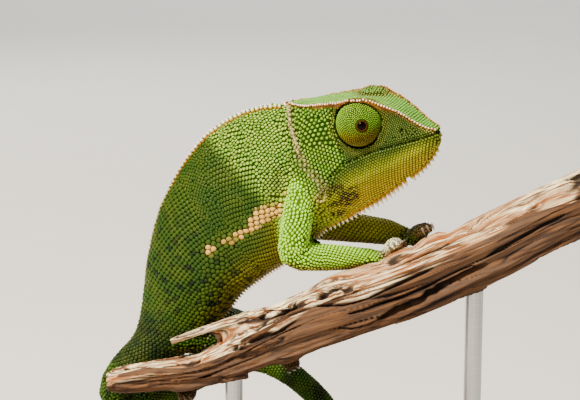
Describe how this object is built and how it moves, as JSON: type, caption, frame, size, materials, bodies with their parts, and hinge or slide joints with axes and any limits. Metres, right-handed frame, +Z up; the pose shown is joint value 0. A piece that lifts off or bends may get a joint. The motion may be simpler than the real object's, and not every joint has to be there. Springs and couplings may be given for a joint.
{
  "type": "chameleon model on a perch and stand",
  "caption": "Life-size flap-necked chameleon climbing a cut length of dead branch, held over a flat base by rods.",
  "frame": {"origin": "middle of the stand's underside", "axes": "+X the way the animal climbs, +Y its left, +Z up; the underside of the base is the z = 0 plane"},
  "size_m": [0.138, 0.086, 0.1192],
  "materials": {
    "scaly_skin": "green granular scales",
    "wet_eye": "wet dark eyeball",
    "claw_horn": "smooth horn",
    "weathered_wood": "bleached dead wood, bare of bark",
    "base_wood": "black satin lacquer",
    "rod_steel": "brushed rod"
  },
  "bodies": {
    "root": {"belly": "scaly_skin", "chest": "scaly_skin", "eye_turret_left": "scaly_skin", "eye_turret_right": "scaly_skin", "eyeball_left": "wet_eye", "eyeball_right": "wet_eye", "foot_left": "scaly_skin", "foot_left_inner_claw_1": "claw_horn", "foot_left_inner_claw_2": "claw_horn", "foot_left_inner_toes": "scaly_skin", "foot_left_outer_claw_1": "claw_horn", "foot_left_outer_claw_2": "claw_horn", "foot_left_outer_claw_3": "claw_horn", "foot_left_outer_toes": "scaly_skin", "foot_right": "scaly_skin", "foot_right_inner_claw_1": "claw_horn", "foot_right_inner_claw_2": "claw_horn", "foot_right_inner_toes": "scaly_skin", "foot_right_outer_claw_1": "claw_horn", "foot_right_outer_claw_2": "claw_horn", "foot_right_outer_claw_3": "claw_horn", "foot_right_outer_toes": "scaly_skin", "forearm_left": "scaly_skin", "forearm_right": "scaly_skin", "hand_left": "scaly_skin", "hand_left_inner_claw_1": "claw_horn", "hand_left_inner_claw_2": "claw_horn", "hand_left_inner_claw_3": "claw_horn", "hand_left_inner_toes": "scaly_skin", "hand_left_outer_claw_1": "claw_horn", "hand_left_outer_claw_2": "claw_horn", "hand_left_outer_toes": "scaly_skin", "hand_right": "scaly_skin", "hand_right_inner_claw_1": "claw_horn", "hand_right_inner_claw_2": "claw_horn", "hand_right_inner_claw_3": "claw_horn", "hand_right_inner_toes": "scaly_skin", "hand_right_outer_claw_1": "claw_horn", "hand_right_outer_claw_2": "claw_horn", "hand_right_outer_toes": "scaly_skin", "head": "scaly_skin", "jaw": "scaly_skin", "neck": "scaly_skin", "pelvis": "scaly_skin", "perch": "weathered_wood", "shin_left": "scaly_skin", "shin_right": "scaly_skin", "stand_base": "base_wood", "stand_rod_1": "rod_steel", "stand_rod_2": "rod_steel", "tail_1": "scaly_skin", "tail_2": "scaly_skin", "tail_3": "scaly_skin", "tail_4": "scaly_skin", "tail_5": "scaly_skin", "thigh_left": "scaly_skin", "thigh_right": "scaly_skin", "upper_arm_left": "scaly_skin", "upper_arm_right": "scaly_skin"}
  },
  "joints": []
}
